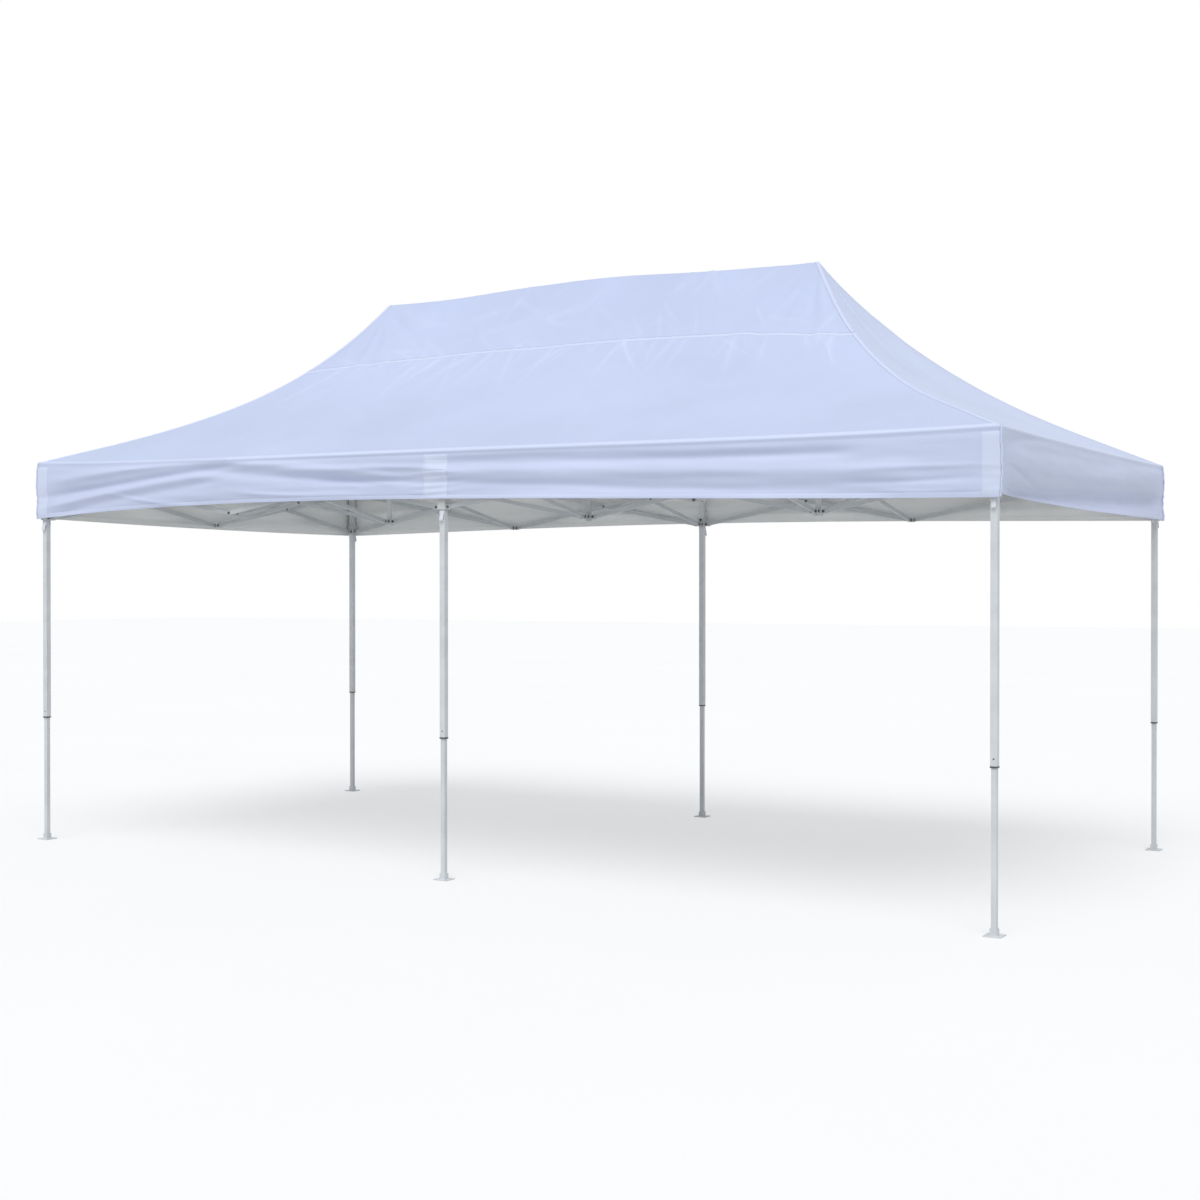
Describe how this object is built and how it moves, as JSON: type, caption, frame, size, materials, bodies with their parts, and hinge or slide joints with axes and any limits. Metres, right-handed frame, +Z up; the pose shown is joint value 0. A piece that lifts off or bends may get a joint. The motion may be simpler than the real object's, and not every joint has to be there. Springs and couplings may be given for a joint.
{
  "type": "pop up canopy",
  "caption": "Folding market canopy: telescopic legs, scissor-truss frame with sliding collars, twin peak poles, hipped fabric roof and hanging valance.",
  "frame": {"origin": "on the ground, at the centre of the rectangle of six legs", "axes": "+X along the long side, +Y towards the back long side, +Z up"},
  "size_m": [6.084, 3.084, 3.3769],
  "materials": {
    "frame_paint": "satin powder coat",
    "bar_paint": "satin powder coat",
    "slider_plastic": "moulded",
    "latch_plastic": "moulded",
    "roof_cloth": "coated polyester weave",
    "valance_cloth": "coated polyester weave"
  },
  "bodies": {
    "leg_front_mid": {"upper_leg_front_mid": "frame_paint", "valance": "valance_cloth", "centre_truss": "bar_paint", "cross_truss_middle": "bar_paint", "cross_trusses_outer": "bar_paint"},
    "foot_leg_front_mid": {"lower_leg_front_mid": "frame_paint"},
    "slider_front_mid": {"slider_front_mid": "slider_plastic"},
    "latch_front_mid": {"latch_front_mid": "latch_plastic"},
    "leg_front_right": {"upper_leg_front_right": "frame_paint"},
    "foot_leg_front_right": {"lower_leg_front_right": "frame_paint"},
    "slider_front_right": {"slider_front_right": "slider_plastic"},
    "latch_front_right": {"latch_front_right": "latch_plastic"},
    "leg_front_left": {"upper_leg_front_left": "frame_paint"},
    "foot_leg_front_left": {"lower_leg_front_left": "frame_paint"},
    "slider_front_left": {"slider_front_left": "slider_plastic"},
    "latch_front_left": {"latch_front_left": "latch_plastic"},
    "leg_back_right": {"upper_leg_back_right": "frame_paint"},
    "foot_leg_back_right": {"lower_leg_back_right": "frame_paint"},
    "slider_back_right": {"slider_back_right": "slider_plastic"},
    "latch_back_right": {"latch_back_right": "latch_plastic"},
    "leg_back_left": {"upper_leg_back_left": "frame_paint"},
    "foot_leg_back_left": {"lower_leg_back_left": "frame_paint"},
    "slider_back_left": {"slider_back_left": "slider_plastic"},
    "latch_back_left": {"latch_back_left": "latch_plastic"},
    "leg_back_mid": {"upper_leg_back_mid": "frame_paint"},
    "foot_leg_back_mid": {"lower_leg_back_mid": "frame_paint"},
    "slider_back_mid": {"slider_back_mid": "slider_plastic"},
    "latch_back_mid": {"latch_back_mid": "latch_plastic"},
    "bar_front_right_1_down": {"bar_front_right_1_down": "bar_paint"},
    "bar_front_right_1_up": {"bar_front_right_1_up": "bar_paint"},
    "bar_front_right_2_up": {"bar_front_right_2_up": "bar_paint"},
    "bar_front_right_2_down": {"bar_front_right_2_down": "bar_paint"},
    "bar_front_left_1_down": {"bar_front_left_1_down": "bar_paint"},
    "bar_front_left_1_up": {"bar_front_left_1_up": "bar_paint"},
    "bar_front_left_2_up": {"bar_front_left_2_up": "bar_paint"},
    "bar_front_left_2_down": {"bar_front_left_2_down": "bar_paint"},
    "bar_right_end_1_down": {"bar_right_end_1_down": "bar_paint"},
    "bar_right_end_1_up": {"bar_right_end_1_up": "bar_paint"},
    "bar_right_end_2_up": {"bar_right_end_2_up": "bar_paint"},
    "bar_right_end_2_down": {"bar_right_end_2_down": "bar_paint"},
    "bar_left_end_1_down": {"bar_left_end_1_down": "bar_paint"},
    "bar_left_end_1_up": {"bar_left_end_1_up": "bar_paint"},
    "bar_left_end_2_up": {"bar_left_end_2_up": "bar_paint"},
    "bar_left_end_2_down": {"bar_left_end_2_down": "bar_paint"},
    "bar_back_right_1_down": {"bar_back_right_1_down": "bar_paint"},
    "bar_back_right_1_up": {"bar_back_right_1_up": "bar_paint"},
    "bar_back_right_2_up": {"bar_back_right_2_up": "bar_paint"},
    "bar_back_right_2_down": {"bar_back_right_2_down": "bar_paint"},
    "bar_back_left_1_down": {"bar_back_left_1_down": "bar_paint"},
    "bar_back_left_1_up": {"bar_back_left_1_up": "bar_paint"},
    "bar_back_left_2_up": {"bar_back_left_2_up": "bar_paint"},
    "bar_back_left_2_down": {"bar_back_left_2_down": "bar_paint"},
    "peak_pole_right": {"peak_pole_right": "frame_paint"},
    "peak_pole_left": {"peak_pole_left": "frame_paint"},
    "roof_front_lower": {"roof_front_lower": "roof_cloth"},
    "roof_back_lower": {"roof_back_lower": "roof_cloth"},
    "roof_front_upper": {"roof_front_upper": "roof_cloth"},
    "roof_back_upper": {"roof_back_upper": "roof_cloth"},
    "roof_right_end": {"roof_right_end": "roof_cloth"},
    "roof_left_end": {"roof_left_end": "roof_cloth"}
  },
  "joints": [
    {"name": "fold", "type": "hinge", "parent": "leg_front_mid", "child": "bar_front_right_1_down", "pos_m": [0.038, -1.5, 2.26], "axis": [0, 1, 0], "range_deg": [0, 75.5], "deforming": ["valance", "centre_truss", "cross_truss_middle", "cross_trusses_outer"]},
    {"name": "front_right_1_cross", "type": "hinge", "parent": "bar_front_right_1_down", "child": "bar_front_right_1_up", "pos_m": [0.769, -1.5, 2.12], "axis": [0, 1, 0], "range_deg": [-151, 0]},
    {"name": "slider_front_mid_pivot", "type": "hinge", "parent": "bar_front_right_1_up", "child": "slider_front_mid", "pos_m": [0.038, -1.5, 1.98], "axis": [0, 1, 0], "range_deg": [0, 75.5]},
    {"name": "front_right_node", "type": "hinge", "parent": "bar_front_right_1_down", "child": "bar_front_right_2_up", "pos_m": [1.5, -1.5, 1.98], "axis": [0, 1, 0], "range_deg": [-151, 0]},
    {"name": "front_right_2_cross", "type": "hinge", "parent": "bar_front_right_2_up", "child": "bar_front_right_2_down", "pos_m": [2.231, -1.5, 2.12], "axis": [0, 1, 0], "range_deg": [0, 151]},
    {"name": "leg_front_right_pivot", "type": "hinge", "parent": "bar_front_right_2_up", "child": "leg_front_right", "pos_m": [2.962, -1.5, 2.26], "axis": [0, 1, 0], "range_deg": [0, 75.5]},
    {"name": "slider_front_right_pivot", "type": "hinge", "parent": "bar_front_right_2_down", "child": "slider_front_right", "pos_m": [2.962, -1.5, 1.98], "axis": [0, 1, 0], "range_deg": [-75.5, 0]},
    {"name": "front_left_1_swing", "type": "hinge", "parent": "leg_front_mid", "child": "bar_front_left_1_down", "pos_m": [-0.038, -1.5, 2.26], "axis": [0, -1, 0], "range_deg": [0, 75.5]},
    {"name": "front_left_1_cross", "type": "hinge", "parent": "bar_front_left_1_down", "child": "bar_front_left_1_up", "pos_m": [-0.769, -1.5, 2.12], "axis": [0, -1, 0], "range_deg": [-151, 0]},
    {"name": "front_left_node", "type": "hinge", "parent": "bar_front_left_1_down", "child": "bar_front_left_2_up", "pos_m": [-1.5, -1.5, 1.98], "axis": [0, -1, 0], "range_deg": [-151, 0]},
    {"name": "front_left_2_cross", "type": "hinge", "parent": "bar_front_left_2_up", "child": "bar_front_left_2_down", "pos_m": [-2.231, -1.5, 2.12], "axis": [0, -1, 0], "range_deg": [0, 151]},
    {"name": "leg_front_left_pivot", "type": "hinge", "parent": "bar_front_left_2_up", "child": "leg_front_left", "pos_m": [-2.962, -1.5, 2.26], "axis": [0, -1, 0], "range_deg": [0, 75.5]},
    {"name": "slider_front_left_pivot", "type": "hinge", "parent": "bar_front_left_2_down", "child": "slider_front_left", "pos_m": [-2.962, -1.5, 1.98], "axis": [0, -1, 0], "range_deg": [-75.5, 0]},
    {"name": "right_end_1_swing", "type": "hinge", "parent": "leg_front_right", "child": "bar_right_end_1_down", "pos_m": [3, -1.462, 2.26], "axis": [-1, 0, 0], "range_deg": [0, 75.5]},
    {"name": "right_end_1_cross", "type": "hinge", "parent": "bar_right_end_1_down", "child": "bar_right_end_1_up", "pos_m": [3, -0.731, 2.12], "axis": [-1, 0, 0], "range_deg": [-151, 0]},
    {"name": "right_end_node", "type": "hinge", "parent": "bar_right_end_1_down", "child": "bar_right_end_2_up", "pos_m": [3, 0, 1.98], "axis": [-1, 0, 0], "range_deg": [-151, 0]},
    {"name": "right_end_2_cross", "type": "hinge", "parent": "bar_right_end_2_up", "child": "bar_right_end_2_down", "pos_m": [3, 0.731, 2.12], "axis": [-1, 0, 0], "range_deg": [0, 151]},
    {"name": "leg_back_right_pivot", "type": "hinge", "parent": "bar_right_end_2_up", "child": "leg_back_right", "pos_m": [3, 1.462, 2.26], "axis": [-1, 0, 0], "range_deg": [0, 75.5]},
    {"name": "slider_back_right_pivot", "type": "hinge", "parent": "bar_right_end_2_down", "child": "slider_back_right", "pos_m": [3, 1.462, 1.98], "axis": [-1, 0, 0], "range_deg": [-75.5, 0]},
    {"name": "left_end_1_swing", "type": "hinge", "parent": "leg_front_left", "child": "bar_left_end_1_down", "pos_m": [-3, -1.462, 2.26], "axis": [-1, 0, 0], "range_deg": [0, 75.5]},
    {"name": "left_end_1_cross", "type": "hinge", "parent": "bar_left_end_1_down", "child": "bar_left_end_1_up", "pos_m": [-3, -0.731, 2.12], "axis": [-1, 0, 0], "range_deg": [-151, 0]},
    {"name": "left_end_node", "type": "hinge", "parent": "bar_left_end_1_down", "child": "bar_left_end_2_up", "pos_m": [-3, 0, 1.98], "axis": [-1, 0, 0], "range_deg": [-151, 0]},
    {"name": "left_end_2_cross", "type": "hinge", "parent": "bar_left_end_2_up", "child": "bar_left_end_2_down", "pos_m": [-3, 0.731, 2.12], "axis": [-1, 0, 0], "range_deg": [0, 151]},
    {"name": "leg_back_left_pivot", "type": "hinge", "parent": "bar_left_end_2_up", "child": "leg_back_left", "pos_m": [-3, 1.462, 2.26], "axis": [-1, 0, 0], "range_deg": [0, 75.5]},
    {"name": "slider_back_left_pivot", "type": "hinge", "parent": "bar_left_end_2_down", "child": "slider_back_left", "pos_m": [-3, 1.462, 1.98], "axis": [-1, 0, 0], "range_deg": [-75.5, 0]},
    {"name": "back_right_1_swing", "type": "hinge", "parent": "leg_back_right", "child": "bar_back_right_1_down", "pos_m": [2.962, 1.5, 2.26], "axis": [0, -1, 0], "range_deg": [0, 75.5]},
    {"name": "back_right_1_cross", "type": "hinge", "parent": "bar_back_right_1_down", "child": "bar_back_right_1_up", "pos_m": [2.231, 1.5, 2.12], "axis": [0, -1, 0], "range_deg": [-151, 0]},
    {"name": "back_right_node", "type": "hinge", "parent": "bar_back_right_1_down", "child": "bar_back_right_2_up", "pos_m": [1.5, 1.5, 1.98], "axis": [0, -1, 0], "range_deg": [-151, 0]},
    {"name": "back_right_2_cross", "type": "hinge", "parent": "bar_back_right_2_up", "child": "bar_back_right_2_down", "pos_m": [0.769, 1.5, 2.12], "axis": [0, -1, 0], "range_deg": [0, 151]},
    {"name": "leg_back_mid_pivot", "type": "hinge", "parent": "bar_back_right_2_up", "child": "leg_back_mid", "pos_m": [0.038, 1.5, 2.26], "axis": [0, -1, 0], "range_deg": [0, 75.5]},
    {"name": "slider_back_mid_pivot", "type": "hinge", "parent": "bar_back_right_2_down", "child": "slider_back_mid", "pos_m": [0.038, 1.5, 1.98], "axis": [0, -1, 0], "range_deg": [-75.5, 0]},
    {"name": "back_left_1_swing", "type": "hinge", "parent": "leg_back_left", "child": "bar_back_left_1_down", "pos_m": [-2.962, 1.5, 2.26], "axis": [0, 1, 0], "range_deg": [0, 75.5]},
    {"name": "back_left_1_cross", "type": "hinge", "parent": "bar_back_left_1_down", "child": "bar_back_left_1_up", "pos_m": [-2.231, 1.5, 2.12], "axis": [0, 1, 0], "range_deg": [-151, 0]},
    {"name": "back_left_node", "type": "hinge", "parent": "bar_back_left_1_down", "child": "bar_back_left_2_up", "pos_m": [-1.5, 1.5, 1.98], "axis": [0, 1, 0], "range_deg": [-151, 0]},
    {"name": "back_left_2_cross", "type": "hinge", "parent": "bar_back_left_2_up", "child": "bar_back_left_2_down", "pos_m": [-0.769, 1.5, 2.12], "axis": [0, 1, 0], "range_deg": [0, 151]},
    {"name": "peak_pole_right_gather", "type": "slide", "parent": "slider_front_mid", "child": "peak_pole_right", "axis": [-0.7071, -0.7071, 0], "range_m": [0, 1.93327]},
    {"name": "peak_pole_left_gather", "type": "slide", "parent": "slider_front_mid", "child": "peak_pole_left", "axis": [0.7071, -0.7071, 0], "range_m": [0, 1.93327]},
    {"name": "roof_front_lower_drop", "type": "hinge", "parent": "leg_front_mid", "child": "roof_front_lower", "pos_m": [0, -1.534, 2.287], "axis": [-1, 0, 0], "range_deg": [0, 117.99], "deforming": ["roof_front_lower"]},
    {"name": "roof_back_lower_drop", "type": "hinge", "parent": "leg_back_mid", "child": "roof_back_lower", "pos_m": [0, 1.534, 2.287], "axis": [1, 0, 0], "range_deg": [0, 117.99], "deforming": ["roof_back_lower"]},
    {"name": "roof_front_upper_drop", "type": "hinge", "parent": "peak_pole_left", "child": "roof_front_upper", "pos_m": [0, 0, 3.377], "axis": [1, 0, 0], "range_deg": [0, 36.63], "deforming": ["roof_front_upper"]},
    {"name": "roof_back_upper_drop", "type": "hinge", "parent": "peak_pole_left", "child": "roof_back_upper", "pos_m": [0, 0, 3.377], "axis": [-1, 0, 0], "range_deg": [0, 36.63], "deforming": ["roof_back_upper"]},
    {"name": "roof_right_end_drop", "type": "hinge", "parent": "leg_front_right", "child": "roof_right_end", "pos_m": [3.034, 0, 2.287], "axis": [0, -1, 0], "range_deg": [0, 125.4], "deforming": ["roof_right_end"]},
    {"name": "roof_left_end_drop", "type": "hinge", "parent": "leg_front_left", "child": "roof_left_end", "pos_m": [-3.034, 0, 2.287], "axis": [0, 1, 0], "range_deg": [0, 125.4], "deforming": ["roof_left_end"]},
    {"name": "leg_front_mid_height", "type": "slide", "parent": "leg_front_mid", "child": "foot_leg_front_mid", "axis": [0, 0, 1], "range_m": [0, 0.65]},
    {"name": "latch_front_mid_pull", "type": "slide", "parent": "slider_front_mid", "child": "latch_front_mid", "axis": [0, 1, 0], "range_m": [0, 0.006], "stiffness_N_per_m": 300},
    {"name": "leg_front_right_height", "type": "slide", "parent": "leg_front_right", "child": "foot_leg_front_right", "axis": [0, 0, 1], "range_m": [0, 0.65]},
    {"name": "latch_front_right_pull", "type": "slide", "parent": "slider_front_right", "child": "latch_front_right", "axis": [1, 0, 0], "range_m": [0, 0.006], "stiffness_N_per_m": 300},
    {"name": "leg_front_left_height", "type": "slide", "parent": "leg_front_left", "child": "foot_leg_front_left", "axis": [0, 0, 1], "range_m": [0, 0.65]},
    {"name": "latch_front_left_pull", "type": "slide", "parent": "slider_front_left", "child": "latch_front_left", "axis": [-1, 0, 0], "range_m": [0, 0.006], "stiffness_N_per_m": 300},
    {"name": "leg_back_right_height", "type": "slide", "parent": "leg_back_right", "child": "foot_leg_back_right", "axis": [0, 0, 1], "range_m": [0, 0.65]},
    {"name": "latch_back_right_pull", "type": "slide", "parent": "slider_back_right", "child": "latch_back_right", "axis": [1, 0, 0], "range_m": [0, 0.006], "stiffness_N_per_m": 300},
    {"name": "leg_back_left_height", "type": "slide", "parent": "leg_back_left", "child": "foot_leg_back_left", "axis": [0, 0, 1], "range_m": [0, 0.65]},
    {"name": "latch_back_left_pull", "type": "slide", "parent": "slider_back_left", "child": "latch_back_left", "axis": [-1, 0, 0], "range_m": [0, 0.006], "stiffness_N_per_m": 300},
    {"name": "leg_back_mid_height", "type": "slide", "parent": "leg_back_mid", "child": "foot_leg_back_mid", "axis": [0, 0, 1], "range_m": [0, 0.65]},
    {"name": "latch_back_mid_pull", "type": "slide", "parent": "slider_back_mid", "child": "latch_back_mid", "axis": [0, -1, 0], "range_m": [0, 0.006], "stiffness_N_per_m": 300}
  ],
  "couplings": [
    {"joint": "front_right_1_cross", "follows": "fold", "ratio": -2},
    {"joint": "slider_front_mid_pivot", "follows": "fold", "ratio": 1},
    {"joint": "front_right_node", "follows": "fold", "ratio": -2},
    {"joint": "front_right_2_cross", "follows": "fold", "ratio": 2},
    {"joint": "leg_front_right_pivot", "follows": "fold", "ratio": 1},
    {"joint": "slider_front_right_pivot", "follows": "fold", "ratio": -1},
    {"joint": "front_left_1_swing", "follows": "fold", "ratio": 1},
    {"joint": "front_left_1_cross", "follows": "fold", "ratio": -2},
    {"joint": "front_left_node", "follows": "fold", "ratio": -2},
    {"joint": "front_left_2_cross", "follows": "fold", "ratio": 2},
    {"joint": "leg_front_left_pivot", "follows": "fold", "ratio": 1},
    {"joint": "slider_front_left_pivot", "follows": "fold", "ratio": -1},
    {"joint": "right_end_1_swing", "follows": "fold", "ratio": 1},
    {"joint": "right_end_1_cross", "follows": "fold", "ratio": -2},
    {"joint": "right_end_node", "follows": "fold", "ratio": -2},
    {"joint": "right_end_2_cross", "follows": "fold", "ratio": 2},
    {"joint": "leg_back_right_pivot", "follows": "fold", "ratio": 1},
    {"joint": "slider_back_right_pivot", "follows": "fold", "ratio": -1},
    {"joint": "left_end_1_swing", "follows": "fold", "ratio": 1},
    {"joint": "left_end_1_cross", "follows": "fold", "ratio": -2},
    {"joint": "left_end_node", "follows": "fold", "ratio": -2},
    {"joint": "left_end_2_cross", "follows": "fold", "ratio": 2},
    {"joint": "leg_back_left_pivot", "follows": "fold", "ratio": 1},
    {"joint": "slider_back_left_pivot", "follows": "fold", "ratio": -1},
    {"joint": "back_right_1_swing", "follows": "fold", "ratio": 1},
    {"joint": "back_right_1_cross", "follows": "fold", "ratio": -2},
    {"joint": "back_right_node", "follows": "fold", "ratio": -2},
    {"joint": "back_right_2_cross", "follows": "fold", "ratio": 2},
    {"joint": "leg_back_mid_pivot", "follows": "fold", "ratio": 1},
    {"joint": "slider_back_mid_pivot", "follows": "fold", "ratio": -1},
    {"joint": "back_left_1_swing", "follows": "fold", "ratio": 1},
    {"joint": "back_left_1_cross", "follows": "fold", "ratio": -2},
    {"joint": "back_left_node", "follows": "fold", "ratio": -2},
    {"joint": "back_left_2_cross", "follows": "fold", "ratio": 2},
    {"joint": "peak_pole_right_gather", "follows": "fold", "m_per_rad": 1.4671},
    {"joint": "peak_pole_left_gather", "follows": "fold", "m_per_rad": 1.4671},
    {"joint": "roof_front_lower_drop", "follows": "fold", "ratio": 1.5628},
    {"joint": "roof_back_lower_drop", "follows": "fold", "ratio": 1.5628},
    {"joint": "roof_front_upper_drop", "follows": "fold", "ratio": 0.4851},
    {"joint": "roof_back_upper_drop", "follows": "fold", "ratio": 0.4851},
    {"joint": "roof_right_end_drop", "follows": "fold", "ratio": 1.6609},
    {"joint": "roof_left_end_drop", "follows": "fold", "ratio": 1.6609}
  ]
}
